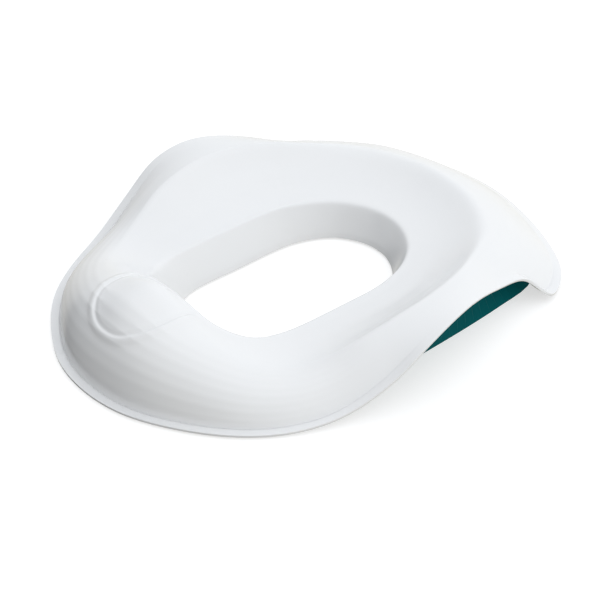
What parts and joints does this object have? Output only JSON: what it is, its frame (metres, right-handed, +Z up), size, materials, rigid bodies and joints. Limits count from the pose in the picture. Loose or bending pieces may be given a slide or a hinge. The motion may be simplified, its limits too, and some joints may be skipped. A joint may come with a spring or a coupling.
{
  "type": "toilet training seat",
  "caption": "Toddler toilet training seat: a glossy moulded shell with an egg-shaped opening, a raised splash guard and arched side wings, on a dark non-slip base.",
  "frame": {"origin": "on the floor, under the middle of the seat's bounding box", "axes": "+X towards the child's left-hand side, -Y towards the front with the splash guard, +Z up"},
  "size_m": [0.2996, 0.3753, 0.0638],
  "materials": {
    "seat_shell": "glossy white moulded plastic",
    "nonslip_base": "satin dark green rubber"
  },
  "bodies": {
    "root": {"seat_shell": "seat_shell", "nonslip_base": "nonslip_base"}
  },
  "joints": []
}
